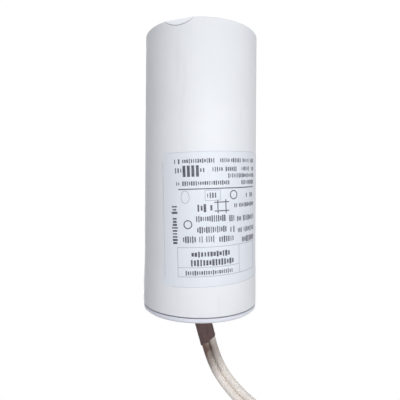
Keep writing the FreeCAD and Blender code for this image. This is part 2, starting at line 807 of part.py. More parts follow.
slab.setExpression("Length", "Sizes.CanDiameter * 2")
slab.setExpression("Width", "Sizes.CanDiameter * 2")
slab.setExpression("Height", "Sizes.LabelHeight")
middle_bearing = math.radians(number("Sizes.LabelEdge - " + LABEL_TURN + " / 2"))
outward = FreeCAD.Vector(math.cos(middle_bearing), math.sin(middle_bearing), 0)
tilted = FreeCAD.Rotation(outward, number("Sizes.LabelTilt"))
label_middle = FreeCAD.Vector(0, 0, number(LABEL_BOTTOM + " + Sizes.LabelHeight / 2"))
corner_to_middle = FreeCAD.Vector(
    number("Sizes.CanDiameter"), number("Sizes.CanDiameter"), number("Sizes.LabelHeight / 2")
)
slab.Placement = FreeCAD.Placement(label_middle - tilted.multVec(corner_to_middle), tilted)
label_cut = doc.addObject("Part::Common", "label_cut")
label_cut.Base = label_blank
label_cut.Tool = slab
doc.recompute()
label_outline = doc.addObject("Part::Fillet", "label_outline")
label_outline.Base = label_cut
corner_radius = number("Sizes.LabelCorner")
blank_thickness = number("2 * Sizes.CanWall")
label_outline.Edges = [
    (index, corner_radius, corner_radius)
    for index, edge in enumerate(label_cut.Shape.Edges, start=1)
    if abs(edge.Length - blank_thickness) < LABEL_MATCH * blank_thickness
]
label = doc.addObject("Part::Common", "label")
label.Label = "label"
label.Base = label_outline
label.Tool = label_film

doc.recompute()
doc.removeObject(gauge.Name)
doc.recompute()

NODES = [
    "case",
    "lid",
    "label",
    "lead_sleeve",
    "lead_1",
    "lead_2",
    "lead_1_bare_end",
    "lead_2_bare_end",
    "lead_1_inner",
    "lead_2_inner",
    "lead_1_strand",
    "lead_2_strand",
    "upper_solder",
    "lower_solder",
    "sealing_resin",
    "upper_insulator",
    "upper_end_spray",
    "film_winding",
    "winding_core",
    "outer_wrap",
    "lower_end_spray",
    "base_spacer",
]

for item in doc.Objects:
    if "Invalid" in item.State or "Error" in item.State:
        raise RuntimeError("%s is %s" % (item.Name, item.State))
pieces = {}
for node in NODES:
    shape = doc.getObjectsByLabel(node)[0].Shape
    if shape.isNull() or not shape.isValid() or len(shape.Solids) != 1:
        raise RuntimeError("%s has %d solids or a bad shape" % (node, len(shape.Solids)))
    pieces[node] = shape

os.makedirs("parts", exist_ok=True)
for node, shape in pieces.items():
    shape.exportStep("parts/%s.step" % node)
    print("%-16s %9.1f mm3" % (node, shape.Volume))
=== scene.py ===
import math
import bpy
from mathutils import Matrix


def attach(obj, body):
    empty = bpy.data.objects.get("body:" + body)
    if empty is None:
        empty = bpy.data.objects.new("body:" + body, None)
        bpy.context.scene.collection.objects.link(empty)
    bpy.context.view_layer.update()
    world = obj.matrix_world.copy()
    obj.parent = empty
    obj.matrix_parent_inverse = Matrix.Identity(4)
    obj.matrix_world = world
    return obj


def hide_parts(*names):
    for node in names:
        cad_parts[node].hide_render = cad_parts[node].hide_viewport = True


bl_info = {
    "name": "Motor Start Capacitor",
    "version": (1, 0, 0),
    "blender": (4, 5, 0),
    "location": "View3D > Sidebar > Capacitor",
    "description": "Dresses a round plastic motor start capacitor and sets its stage",
    "category": "Object",
}

import bmesh
import bpy
from bpy.props import FloatProperty, FloatVectorProperty, IntProperty, PointerProperty
from mathutils import Matrix, Vector

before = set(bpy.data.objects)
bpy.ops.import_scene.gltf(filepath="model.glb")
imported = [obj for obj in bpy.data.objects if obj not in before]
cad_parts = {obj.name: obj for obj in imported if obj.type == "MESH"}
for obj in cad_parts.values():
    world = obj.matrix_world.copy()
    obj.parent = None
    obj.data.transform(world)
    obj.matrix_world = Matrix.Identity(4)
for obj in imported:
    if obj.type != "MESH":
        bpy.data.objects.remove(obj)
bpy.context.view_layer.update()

# The free leads' routes, in metres, from the sleeve to the stripped ends.
LEAD_1_ROUTE = [
    (-0.005233, 0.0, 0.123091),
    (-0.007103, 0.0, 0.129837),
    (-0.0119, 0.0, 0.1386),
    (-0.0205, -0.0003, 0.1477),
    (-0.0323, -0.0023, 0.1548),
    (-0.0455, -0.0063, 0.1576),
    (-0.0592, -0.0108, 0.1565),
    (-0.0745, -0.0148, 0.1502),
    (-0.0842, -0.0173, 0.1338),
    (-0.0866, -0.0183, 0.1015),
    (-0.0850, -0.0183, 0.0612),
    (-0.0868, -0.0178, 0.0273),
    (-0.0929, -0.0170, 0.0085),
]
LEAD_2_ROUTE = [
    (-0.002320, -0.0004, 0.123900),
    (-0.004330, -0.0007, 0.131210),
    (-0.0096, -0.0009, 0.1404),
    (-0.0185, -0.0013, 0.1499),
    (-0.0311, -0.0022, 0.1577),
    (-0.0458, -0.0042, 0.1616),
    (-0.0613, -0.0082, 0.1606),
    (-0.0781, -0.0122, 0.1539),
    (-0.0877, -0.0149, 0.1384),
    (-0.0906, -0.0154, 0.1048),
    (-0.0889, -0.0148, 0.0640),
    (-0.0900, -0.0136, 0.0295),
    (-0.0950, -0.0124, 0.0086),
]
LEAD_1_LENGTH = 0.228
LEAD_2_LENGTH = 0.239
BARE_LENGTH = 0.008

# The sleeve: two leads side by side, a straight start, a bend towards -X and a straight end.
LEAD_PITCH = 0.0032
SLEEVE_START = 0.103
BEND_START = 0.1064
BEND_RADIUS = 0.028
BEND_ANGLE = math.radians(15.5)
SLEEVE_STRAIGHT = 0.010

# The middle of the painted shadow on the leads beside the sleeve's end. It reaches furthest along
# the outer lead.
SHADOW_MIDDLE = (0.0010, 0.0, 0.1275)

CAN_RADIUS = 0.0225

# The label's place on the can.
LABEL_BOTTOM = 0.047
LABEL_HEIGHT = 0.048
LABEL_WIDTH = 0.060
LABEL_EDGE = math.radians(-54.0)
LABEL_TILT = math.radians(2.2)
LABEL_THICKNESS = 0.00008
TAPER_START = 0.0884
TAPER_RATE = 0.025

# The height of the seam between the can and the lid.
SEAM = 0.1065

# The small flat on the closed end's corner, as the way that it faces and a point in it.
FLAT_BEARING = math.radians(-68.5)
FLAT_HEIGHT = 0.0024
FLAT_DEPTH = 0.0008
FLAT_SLOPE = math.atan2(FLAT_DEPTH, FLAT_HEIGHT)
FLAT_FACING = (
    math.cos(FLAT_SLOPE) * math.cos(FLAT_BEARING),
    math.cos(FLAT_SLOPE) * math.sin(FLAT_BEARING),
    -math.sin(FLAT_SLOPE),
)
FLAT_POINT = (
    CAN_RADIUS * math.cos(FLAT_BEARING),
    CAN_RADIUS * math.sin(FLAT_BEARING),
    FLAT_HEIGHT,
)
# How far behind the flat's plane the painted highlight on its face fades out, and the line of
# painted shade round it.
FACE_FADE = (0.000002, 0.000010)
LINE_FADE = (0.000070, 0.000150)

# The sleeve's wall: steps along it, points in a ring, how square its slot is (less is
# squarer), how wide the pinch between the leads is in half depths, and where along the sleeve
# the pinch and the slant of its end begin. Then how deep its creases are.
SLEEVE_STEPS = 60
SLEEVE_RING_POINTS = 48
SLOT_POWER = 0.72
PINCH_WIDTH = 0.45
PINCH_START = 0.35
SLANT_START = 0.5
CREASE_DEPTH = 0.00004

# Printed lines are cut to this many millimetres, and rings into this many steps.
PRINT_STEP = 0.6
PRINT_RING_STEPS = 40
# A mark's height is drawn between these shares of its row's height, and cut to the whole.
LOWEST_MARK = 0.62
HIGHEST_MARK = 1.12
# How far the middle of the ink stands off the label, in thicknesses of ink.
INK_RISE = 0.8
MARK_PITCH = 0.00078
LINE_WIDTH = 0.00026
INK_THICKNESS = 0.00003
PRINT_SEED = 7

# The twisted wires: six round a middle one, their turns, steps in a turn and sides of a wire.
OUTER_WIRES = 6
WIRE_DIAMETER = 0.0013
WIRE_TURNS = 1.1
WIRE_STEPS = 24
WIRE_SIDES = 12

# The camera: its place, its slight turn, and its picture's shift as a share of its width.
CAMERA_PLACE = (0.0, -0.1545, 0.05985)
CAMERA_ROLL = math.radians(0.38)
CAMERA_SHIFT = (-0.0010, -0.03525)
SENSOR_WIDTH = 36.0
NEAREST_SEEN = 0.01

# The lamps, each as place and size, and the point that they face.
KEY_LAMP = ((-0.075, -0.292, 0.03), (0.30, 0.055))
FILL_LAMP = ((0.55, -0.35, 0.30), (0.40, 0.40))
BACK_LAMP = ((0.05, 0.55, 0.25), (0.40, 0.40))
LAMP_AIM = Vector((0.0, 0.0, 0.06))

# The floor: its reach, the colour that takes shadows, and its glow's strength and share.
FLOOR_REACH = 4.0
FLOOR_COLOUR = (0.8, 0.8, 0.8, 1.0)
FLOOR_GLOW = 1.07
FLOOR_GLOW_SHARE = 0.92
# The colour of the even light, and of what the camera sees behind the part.
SURROUND_COLOUR = (0.93, 0.92, 1.0, 1.0)
WHITE = (1.0, 1.0, 1.0, 1.0)

# Rows of small marks on the label, each as start, end, middle height and mark height in
# millimetres, from the label's start and its lower edge.
MARK_ROWS = [
    (5.4, 19.6, 3.4, 1.7),
    (22.2, 25.4, 3.4, 1.5),
    (26.6, 39.4, 3.4, 1.6),
    (5.7, 7.7, 6.6, 1.9),
    (14.9, 15.9, 6.7, 1.4),
    (19.2, 28.4, 6.5, 1.7),
    (31.4, 39.5, 6.4, 1.6),
    (25.2, 39.4, 8.9, 1.7),
    (6.0, 25.1, 11.3, 1.6),
    (31.3, 39.4, 11.4, 1.7),
    (17.0, 20.8, 15.7, 2.0),
    (33.8, 38.0, 16.2, 2.0),
    (27.5, 39.2, 19.7, 1.6),
    (12.9, 23.1, 23.9, 2.3),
    (25.2, 26.9, 24.2, 2.3),
    (28.6, 39.1, 24.6, 2.1),
    (13.2, 23.4, 27.8, 2.3),
    (25.5, 26.8, 28.2, 2.3),
    (28.9, 39.1, 28.8, 2.1),
    (8.0, 18.7, 31.1, 2.4),
    (21.0, 26.3, 31.4, 2.3),
    (31.0, 39.0, 32.4, 2.3),
    (8.6, 25.5, 42.9, 1.7),
]
BOLD_ROWS = [
    (13.6, 18.2, 20.1, 2.8),
    (11.1, 24.4, 36.4, 2.0),
    (10.7, 26.0, 39.4, 2.3),
]
UPRIGHT_ROWS = [
    (19.4, 32.3, 4.8, 2.3),
]

# Straight lines printed on the label, each as two ends in millimetres.
DARK_LINES = [
    ((6.6, 13.3), (39.2, 13.3)),
    ((19.4, 18.2), (24.9, 18.2)),
    ((19.4, 21.3), (24.9, 21.3)),
    ((20.6, 17.4), (20.6, 22.1)),
    ((23.7, 17.4), (23.7, 22.1)),
]
THICK_LINES = [((across, 5.2), (across, 8.7)) for across in (8.9, 10.5, 12.1, 13.7)]
PALE_LINES = [
    ((5.6, 33.9), (38.6, 33.9)),
    ((5.6, 44.2), (38.6, 44.2)),
    ((5.6, 33.9), (5.6, 44.2)),
    ((29.0, 33.9), (29.0, 44.2)),
    ((38.6, 33.9), (38.6, 44.2)),
    ((5.6, 41.0), (29.0, 41.0)),
    ((16.1, 13.9), (21.7, 13.9)),
    ((16.1, 17.5), (21.7, 17.5)),
    ((16.1, 13.9), (16.1, 17.5)),
    ((21.7, 13.9), (21.7, 17.5)),
]
# Along the label's near edge and its two long edges: thin pale lines of painted shade at the
# film's edge.
EDGE_SHADE_LINES = [
    ((0.15, 3.0), (0.15, 45.0)),
    ((3.0, 0.15), (40.0, 0.15)),
    ((3.0, 47.85), (40.0, 47.85)),
]
# Rings as middle, width and height in millimetres.
DARK_RINGS = [
    ((27.1, 15.8), 2.9, 3.0),
    ((9.7, 25.8), 2.8, 2.8),
]
PALE_RINGS = [
    ((9.0, 16.1), 3.0, 4.4),
]


def linear(red, green, blue):
    """A screen colour, given as 0 to 255, in the linear values that shaders take."""
    values = []
    for level in (red / 255, green / 255, blue / 255):
        if level <= 0.04045:
            values.append(level / 12.92)
        else:
            values.append(((level + 0.055) / 1.055) ** 2.4)
    return (*values, 1.0)


# Painted shade in the seam between the can and the lid, and in the line round the flat.
PAINTED_SHADE = linear(96, 98, 108)


def colour_setting(name, description, default):
    """A colour that can be changed in the panel."""
    return FloatVectorProperty(
        name=name, description=description, default=default, size=4, subtype="COLOR"
    )


def length_setting(name, description, default):
    """A length in metres that can be changed in the panel."""
    return FloatProperty(name=name, description=description, default=default, unit="LENGTH")


class CapacitorLeads(bpy.types.PropertyGroup):
    diameter: length_setting("Lead diameter", "Across the insulation of each lead", 0.0031)
    wire_diameter: length_setting(
        "Strand diameter", "Across the twisted wires at the stripped ends", WIRE_DIAMETER
    )
    wire_turns: FloatProperty(
        name="Twist",
        description="Turns of the twisted wires in one stripped end",
        default=WIRE_TURNS,
    )
    insulation: colour_setting("Insulation", "Colour of the leads", linear(240, 233, 225))
    # Painted shadow: a brown colour painted on the leads beside the sleeve's end, where shade
    # falls.
    painted_shadow: colour_setting(
        "Shadow", "Colour of the insulation where the sleeve has marked it", linear(98, 78, 68)
    )


class CapacitorSleeve(bpy.types.PropertyGroup):
    wall: length_setting("Wall", "Thickness of the shrunk sleeve", 0.0003)
    waist: length_setting(
        "Waist", "How far the sleeve draws in between the two leads at its end", 0.00045
    )
    past_end: length_setting(
        "Past end", "How far the middle of the sleeve's end lies past its nominal length", -0.0004
    )
    slant: FloatProperty(
        name="Slant",
        description="How much further its end reaches on one side, as a share of its width",
        default=0.38,
    )
    colour: colour_setting("Colour", "Colour of the sleeve", linear(84, 64, 62))


class CapacitorPrint(bpy.types.PropertyGroup):
    mark_pitch: length_setting("Pitch", "Distance from one small mark to the next", MARK_PITCH)
    ink_thickness: length_setting("Ink thickness", "Thickness of the ink", INK_THICKNESS)
    line_width: length_setting("Line width", "Width of the ruled lines", LINE_WIDTH)
    seed: IntProperty(
        name="Seed",
        description="Changes the widths and gaps of the small marks",
        default=PRINT_SEED,
    )
    ink: colour_setting("Ink", "Colour of the marks", linear(50, 52, 76))
    pale_ink: colour_setting("Pale ink", "Colour of the fine lines", linear(180, 186, 200))


class CapacitorHousing(bpy.types.PropertyGroup):
    case_colour: colour_setting("Can", "Colour of the moulded can", linear(236, 239, 242))
    lid_colour: colour_setting("Lid", "Colour of the moulded lid", linear(230, 234, 242))
    label_colour: colour_setting("Label", "Colour of the label's film", linear(231, 236, 242))


class CapacitorStage(bpy.types.PropertyGroup):
    lens: FloatProperty(
        name="Lens",
        description="Focal length of the camera, in millimetres on a 36 mm sensor",
        default=33.75,
    )
    key_power: FloatProperty(
        name="Key",
        description="Power of the wide, low lamp behind the camera",
        default=0.61,
        unit="POWER",
    )
    fill_power: FloatProperty(
        name="Fill",
        description="Power of the lamp far out at +X",
        default=0.2,
        unit="POWER",
    )
    back_power: FloatProperty(
        name="Back",
        description="Power of the lamp behind the part, out of the camera's view",
        default=1.3,
        unit="POWER",
    )
    surround: FloatProperty(
        name="Surround",
        description="Level of the even light from all round",
        default=0.28,
    )


class Nodes:
    """A short way to add and join the nodes of one tree."""

    def __init__(self, tree):
        self.tree = tree
        self.tree.nodes.clear()

    def add(self, kind, inputs=None, **settings):
        """A new node with its settings, and its inputs by name or number."""
        node = self.tree.nodes.new(kind)
        for key, value in settings.items():
            setattr(node, key, value)
        for key, value in (inputs or {}).items():
            self.feed(node.inputs[key], value)
        return node

    def feed(self, socket, value):
        """Joins a socket or a node's first output to an input, or sets the input's value."""
        if isinstance(value, bpy.types.Node):
            value = value.outputs[0]
        if isinstance(value, bpy.types.NodeSocket):
            self.tree.links.new(value, socket)
        else:
            socket.default_value = value

    def maths(self, operation, *values):
        """One step of arithmetic in a geometry or shader tree."""
        node = self.tree.nodes.new("ShaderNodeMath")
        node.operation = operation
        for socket, value in zip(node.inputs, values):
            self.feed(socket, value)
        return node.outputs[0]

    def vector_maths(self, operation, *values, output="Vector"):
        """One step of arithmetic with vectors."""
        inputs = dict(enumerate(values))
        return self.add("ShaderNodeVectorMath", inputs, operation=operation).outputs[output]


def new_material(name):
    """A material with a principled shader, and the nodes to build its look with."""
    material = bpy.data.materials.new(name)
    material.use_nodes = True
    nodes = Nodes(material.node_tree)
    shader = nodes.add("ShaderNodeBsdfPrincipled")
    output = nodes.add("ShaderNodeOutputMaterial")
    nodes.tree.links.new(shader.outputs["BSDF"], output.inputs["Surface"])
    place = nodes.add("ShaderNodeTexCoord").outputs["Object"]
    return material, nodes, shader, place


def cloudy(nodes, place, scale, detail=3.0, stretch=None, roughness=0.5):
    """Soft noise in the object's own space, drawn out along an axis when asked."""
    if stretch is not None:
        place = nodes.add("ShaderNodeMapping", {"Vector": place, "Scale": stretch})
    noise = nodes.add(
        "ShaderNodeTexNoise",
        {"Vector": place, "Scale": scale, "Detail": detail, "Roughness": roughness},
    )
    return noise.outputs["Fac"]


def levels(nodes, value, low, high, out_low, out_high):
    """Spreads part of a pattern's range over another range."""
    ranged = nodes.add(
        "ShaderNodeMapRange",
        {
            "Value": value,
            "From Min": low,
            "From Max": high,
            "To Min": out_low,
            "To Max": out_high,
        },
    )
    return ranged.outputs[0]


def tint(nodes, factor, first, second):
    """Two colours mixed by a pattern."""
    mix = nodes.add("ShaderNodeMix", data_type="RGBA")
    nodes.feed(mix.inputs["Factor"], factor)
    nodes.feed(mix.inputs["A"], first)
    nodes.feed(mix.inputs["B"], second)
    return mix.outputs["Result"]


def shade(colour, share):
    """The same colour, lighter or darker."""
    return (colour[0] * share, colour[1] * share, colour[2] * share, 1.0)


def mottled(nodes, pattern, colour, dark, low=0.3, high=0.7):
    """The colour, down to a darker share of it where the pattern is low."""
    return tint(nodes, levels(nodes, pattern, low, high, 0.0, 1.0), shade(colour, dark), colour)


def set_look(nodes, shader, colour, roughness, others=None):
    """Sets a shader's colour and roughness, and its other inputs by name."""
    nodes.feed(shader.inputs["Base Color"], colour)
    nodes.feed(shader.inputs["Roughness"], roughness)
    for name, value in (others or {}).items():
        shader.inputs[name].default_value = value


def relief(nodes, shader, height, distance, strength=1.0):
    """Bumps the surface by a pattern."""
    bump = nodes.add(
        "ShaderNodeBump", {"Height": height, "Distance": distance, "Strength": strength}
    )
    nodes.feed(shader.inputs["Normal"], bump.outputs["Normal"])


def height_of(nodes, place):
    """The height of a point on the surface."""
    return nodes.add("ShaderNodeSeparateXYZ", {"Vector": place}).outputs["Z"]


def small_flat(nodes, place):
    """Masks for the small flat's face, which gets a painted highlight, and for the thin line of
    painted shade round it.
    """
    beside = nodes.vector_maths("SUBTRACT", FLAT_POINT, place)
    behind = nodes.vector_maths("DOT_PRODUCT", beside, FLAT_FACING, output="Value")
    face = levels(nodes, behind, *FACE_FADE, 1.0, 0.0)
    # The line is fainter towards the closed end.
    near = nodes.maths(
        "MULTIPLY",
        levels(nodes, behind, *LINE_FADE, 1.0, 0.0),
        levels(nodes, height_of(nodes, place), 0.0006, 0.0020, 0.2, 0.6),
    )
    return face, nodes.maths("MULTIPLY", near, nodes.maths("SUBTRACT", 1.0, face))


def moulded_plastic(name, colour, roughness, seam=None, has_flat=False):
    """Moulding with faint clouds, a ripple and rubbed patches, and painted shade and light at a
    seam and a flat.
    """
    material, nodes, shader, place = new_material(name)
    clouds = cloudy(nodes, place, 55.0)
    scuffs = cloudy(nodes, place, 260.0, 4.0, (1.0, 1.0, 0.12))
    rubbed = levels(nodes, scuffs, 0.60, 0.72, 0.0, 1.0)
    body = mottled(nodes, clouds, colour, 0.97)
    worn_and_painted_light = tint(nodes, nodes.maths("MULTIPLY", rubbed, 0.25), body, shade(colour, 0.86))
    if seam is not None:
        # Painted shade: a darker band at the seam's height, where shade falls in the gap between
        # can and lid.
        away = nodes.maths("ABSOLUTE", nodes.maths("SUBTRACT", height_of(nodes, place), seam))
        worn_and_painted_light = tint(nodes, levels(nodes, away, 0.00012, 0.00030, 0.55, 0.0), worn_and_painted_light, PAINTED_SHADE)
    rough = nodes.maths("ADD", roughness, nodes.maths("MULTIPLY", rubbed, 0.14))
    if has_flat:
        # The flat's face is painted lighter as a painted highlight, and the line round it darker
        # as painted shade.
        face, line = small_flat(nodes, place)
        worn_and_painted_light = tint(nodes, line, tint(nodes, face, worn_and_painted_light, shade(colour, 1.12)), PAINTED_SHADE)
        rough = nodes.maths("SUBTRACT", rough, nodes.maths("MULTIPLY", face, 0.25))
    set_look(nodes, shader, worn_and_painted_light, rough, {"IOR": 1.5, "Specular IOR Level": 0.2})
    ripple = nodes.maths("ADD", clouds, nodes.maths("MULTIPLY", cloudy(nodes, place, 900.0), 0.12))
    relief(nodes, shader, ripple, 0.0001, 0.35)
    return material


def satin_film(name, colour):
    """The label: a satin film with faint fibres and a hint of the can's ripple."""
    material, nodes, shader, place = new_material(name)
    fibres = cloudy(nodes, place, 700.0, 5.0, (1.0, 1.0, 0.2))
    body = mottled(nodes, fibres, colour, 0.98, 0.35, 0.65)
    rough = levels(nodes, fibres, 0.3, 0.7, 0.40, 0.48)
    set_look(nodes, shader, body, rough, {"Specular IOR Level": 0.2})
    relief(nodes, shader, cloudy(nodes, place, 60.0), 0.0001, 0.3)
    return material


def printed_ink(name, colour):
    """Ink with small gaps in its cover, so that it looks printed."""
    material, nodes, shader, place = new_material(name)
    cover = levels(nodes, cloudy(nodes, place, 2600.0, 4.0), 0.35, 0.75, 0.0, 0.45)
    pale = tuple(0.5 * level + 0.4 for level in colour[:3]) + (1.0,)
    rough = levels(nodes, cover, 0.0, 0.45, 0.42, 0.60)
    mixed = tint(nodes, cover, colour, pale)
    set_look(nodes, shader, mixed, rough, {"Specular IOR Level": 0.35})
    relief(nodes, shader, cover, 0.00002, 0.4)
    return material


def lead_insulation(name, colour, painted_shadow):
    """Soft cream insulation with a painted brown shadow that fades away from the sleeve's end."""
    material, nodes, shader, place = new_material(name)
    reach = nodes.vector_maths("DISTANCE", place, SHADOW_MIDDLE, output="Value")
    blotches = cloudy(nodes, place, 420.0, 4.0)
    spread = levels(nodes, blotches, 0.3, 0.7, -0.0008, 0.0008)
    # Painted shadow near the sleeve's end, fading out with distance.
    near = levels(nodes, nodes.maths("ADD", spread, reach), 0.0046, 0.0150, 1.0, 0.0)
    fade = nodes.maths("POWER", near, 1.3)
    grain = cloudy(nodes, place, 700.0, 3.0)
    shadowed = tint(nodes, fade, mottled(nodes, grain, colour, 0.98), painted_shadow)
    rough = levels(nodes, grain, 0.3, 0.7, 0.46, 0.58)
    set_look(nodes, shader, shadowed, rough, {"Specular IOR Level": 0.35})
    relief(nodes, shader, blotches, 0.00004, 0.15)
    return material


def shrunk_plastic(name, colour):
    """Dark shrink sleeve with fine lengthwise creases and a dusty sheen."""
    material, nodes, shader, place = new_material(name)
    creases = cloudy(nodes, place, 1500.0, 3.0, (1.0, 1.0, 0.10))
    dust = cloudy(nodes, place, 380.0, 5.0)
    body = mottled(nodes, creases, colour, 0.8)
    dusty = tint(nodes, levels(nodes, dust, 0.45, 0.8, 0.0, 0.3), body, shade(colour, 2.0))
    rough = levels(nodes, dust, 0.3, 0.7, 0.45, 0.65)
    set_look(nodes, shader, dusty, rough, {"Specular IOR Level": 0.4})
    relief(nodes, shader, nodes.maths("ADD", creases, dust), 0.0001, 0.5)
    return material


def dull_metal(name, colour, roughness, scale, depth):
    """Tinned wire, solder or sprayed metal, by the scale and depth of its grain."""
    material, nodes, shader, place = new_material(name)
    grain = cloudy(nodes, place, scale, 5.0, None, 0.6)
    body = mottled(nodes, grain, colour, 0.75)
    rough = levels(nodes, grain, 0.3, 0.7, roughness - 0.08, roughness + 0.08)
    set_look(nodes, shader, body, rough, {"Metallic": 1.0})
    relief(nodes, shader, grain, depth, 0.6)
    return material


def wound_film(name, colour):
    """The winding: fine rings of metallised film, seen as thin circles on its ends."""
    material, nodes, shader, place = new_material(name)
    rings = nodes.add(
        "ShaderNodeTexWave",
        {"Vector": place, "Scale": 900.0, "Distortion": 1.2, "Detail": 2.0},
        wave_type="RINGS",
        rings_direction="Z",
    ).outputs["Fac"]
    body = tint(nodes, rings, shade(colour, 0.7), colour)
    rough = levels(nodes, rings, 0.0, 1.0, 0.30, 0.42)
    set_look(nodes, shader, body, rough, {"Metallic": 0.6})
    relief(nodes, shader, rings, 0.00005, 0.5)
    return material


def cast_resin(name, colour):
    """Poured resin, slightly clouded, with a few small bubbles under its surface."""
    material, nodes, shader, place = new_material(name)
    clouds = cloudy(nodes, place, 90.0, 4.0)
    bubbles = nodes.add(
        "ShaderNodeTexVoronoi", {"Vector": place, "Scale": 420.0, "Randomness": 1.0}
    ).outputs["Distance"]
    pits = levels(nodes, bubbles, 0.05, 0.22, 1.0, 0.0)
    pitted = tint(nodes, pits, mottled(nodes, clouds, colour, 0.85), shade(colour, 0.6))
    set_look(nodes, shader, pitted, levels(nodes, clouds, 0.3, 0.7, 0.18, 0.30))
    relief(nodes, shader, pits, -0.0002, 0.4)
    return material


def pressed_board(name, colour):
    """Insulating board pressed from fibres."""
    material, nodes, shader, place = new_material(name)
    fibres = cloudy(nodes, place, 800.0, 6.0, (0.15, 1.0, 1.0), 0.65)
    flecks = cloudy(nodes, place, 500.0, 4.0, (1.0, 0.2, 1.0))
    mixed = nodes.maths("MULTIPLY", nodes.maths("ADD", fibres, flecks), 0.5)
    body = mottled(nodes, mixed, colour, 0.7, 0.35, 0.65)
    set_look(nodes, shader, body, levels(nodes, mixed, 0.3, 0.7, 0.7, 0.85))
    relief(nodes, shader, mixed, 0.0001, 0.6)
    return material


def clear_film(name, colour):
    """Thin clear wrap, mostly see-through, with drawn-out streaks."""
    material, nodes, shader, place = new_material(name)
    streaks = cloudy(nodes, place, 240.0, 4.0, (1.0, 1.0, 0.15))
    body = mottled(nodes, streaks, colour, 0.9)
    rough = levels(nodes, streaks, 0.3, 0.7, 0.08, 0.2)
    set_look(nodes, shader, body, rough, {"Transmission Weight": 0.8, "IOR": 1.45})
    relief(nodes, shader, streaks, 0.00005, 0.4)
    return material


def dress_node(node, material):
    """Gives a modelled piece its finish."""
    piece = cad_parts[node]
    piece.data.materials.clear()
    piece.data.materials.append(material)


def set_inputs(modifier, values):
    """Sets a geometry tree's named inputs by their sockets' identifiers."""
    for item in modifier.node_group.interface.items_tree:
        if item.item_type == "SOCKET" and item.in_out == "INPUT" and item.name in values:
            modifier[item.identifier] = values[item.name]


def new_object(name, data):
    """An object in the scene that shows the data."""
    made = bpy.data.objects.new(name, data)
    bpy.context.scene.collection.objects.link(made)
    return made


def grown(name, base, tree, values):
    """A plain mesh of what a geometry tree makes from a base mesh."""
    holder = new_object(name + "_base", base)
    modifier = holder.modifiers.new("grow", "NODES")
    modifier.node_group = tree
    set_inputs(modifier, values)
    bpy.context.view_layer.update()
    seen = holder.evaluated_get(bpy.context.evaluated_depsgraph_get())
    mesh = bpy.data.meshes.new_from_object(seen)
    mesh.name = name
    bpy.data.objects.remove(holder)
    return new_object(name, mesh)


def new_tree(name, inputs):
    """A geometry tree with named inputs, and the sockets that carry them."""
    tree = bpy.data.node_groups.new(name, "GeometryNodeTree")
    nodes = Nodes(tree)
    tree.interface.new_socket("Geometry", in_out="OUTPUT", socket_type="NodeSocketGeometry")
    tree.interface.new_socket("Geometry", in_out="INPUT", socket_type="NodeSocketGeometry")
    for label, (kind, value) in inputs.items():
        socket = tree.interface.new_socket(
            label, in_out="INPUT", socket_type="NodeSocket" + kind
        )
        if value is not None:
            socket.default_value = value
    start = nodes.add("NodeGroupInput")
    return tree, nodes, start.outputs


LABEL_INPUTS = {
    "Can Radius": ("Float", CAN_RADIUS),
    "Label Edge": ("Float", LABEL_EDGE),
    "Tilt": ("Float", LABEL_TILT),
    "Half Width": ("Float", LABEL_WIDTH / 2),
    "Half Height": ("Float", LABEL_HEIGHT / 2),
    "Bottom": ("Float", LABEL_BOTTOM),
    "Taper Start": ("Float", TAPER_START),
    "Taper Rate": ("Float", TAPER_RATE),
    "Lift": ("Float", 0.0001),
}


def wrap_on_label(nodes, geometry, given):
    """Bends flat print round the can: its X runs along the label, Y up it and Z outwards."""
    flat = nodes.add("ShaderNodeSeparateXYZ", {"Vector": nodes.add("GeometryNodeInputPosition")})
    along = nodes.maths("SUBTRACT", flat.outputs["X"], given["Half Width"])
    up = nodes.maths("SUBTRACT", flat.outputs["Y"], given["Half Height"])
    cosine = nodes.maths("COSINE", given["Tilt"])
    sine = nodes.maths("SINE", given["Tilt"])
    run = nodes.maths("MULTIPLY_ADD", along, cosine, nodes.maths("MULTIPLY", up, sine))
    rise = nodes.maths(
        "SUBTRACT", nodes.maths("MULTIPLY", up, cosine), nodes.maths("MULTIPLY", along, sine)
    )
    height = nodes.maths("ADD", rise, nodes.maths("ADD", given["Bottom"], given["Half Height"]))
    past = nodes.maths("MAXIMUM", nodes.maths("SUBTRACT", height, given["Taper Start"]), 0.0)
    out = nodes.maths("MULTIPLY_ADD", past, given["Taper Rate"], given["Can Radius"])
    out = nodes.maths("ADD", nodes.maths("ADD", out, given["Lift"]), flat.outputs["Z"])
    turned = nodes.maths(
        "DIVIDE", nodes.maths("ADD", run, given["Half Width"]), given["Can Radius"]
    )
    bearing = nodes.maths("SUBTRACT", given["Label Edge"], turned)
    spot = nodes.add(
        "ShaderNodeCombineXYZ",
        {
            "X": nodes.maths("MULTIPLY", out, nodes.maths("COSINE", bearing)),
            "Y": nodes.maths("MULTIPLY", out, nodes.maths("SINE", bearing)),
            "Z": height,
        },
    )
    moved = nodes.add("GeometryNodeSetPosition", {"Geometry": geometry, "Position": spot})
    return nodes.add("GeometryNodeFlipFaces", {"Mesh": moved})


def close_tree(nodes, geometry, material):
    """Gives the geometry its material and ends the tree with it."""
    finished = nodes.add("GeometryNodeSetMaterial", {"Geometry": geometry, "Material": material})
    nodes.add("NodeGroupOutput", {"Geometry": finished})


def stand_bars(nodes, points, along, scale, given, kept=None):
    """Sets a bar on each point that is kept, turned along a vector, and prints it in ink."""
    heading = nodes.add("FunctionNodeAlignRotationToVector", {"Vector": along}, axis="X")
    bar = nodes.add("GeometryNodeMeshCube")
    bars = nodes.add(
        "GeometryNodeInstanceOnPoints",
        {"Points": points, "Instance": bar, "Rotation": heading, "Scale": scale},
    )
    if kept is not None:
        nodes.feed(bars.inputs["Selection"], kept)
    real = nodes.add("GeometryNodeRealizeInstances", {"Geometry": bars})
    close_tree(nodes, wrap_on_label(nodes, real, given), given["Ink"])


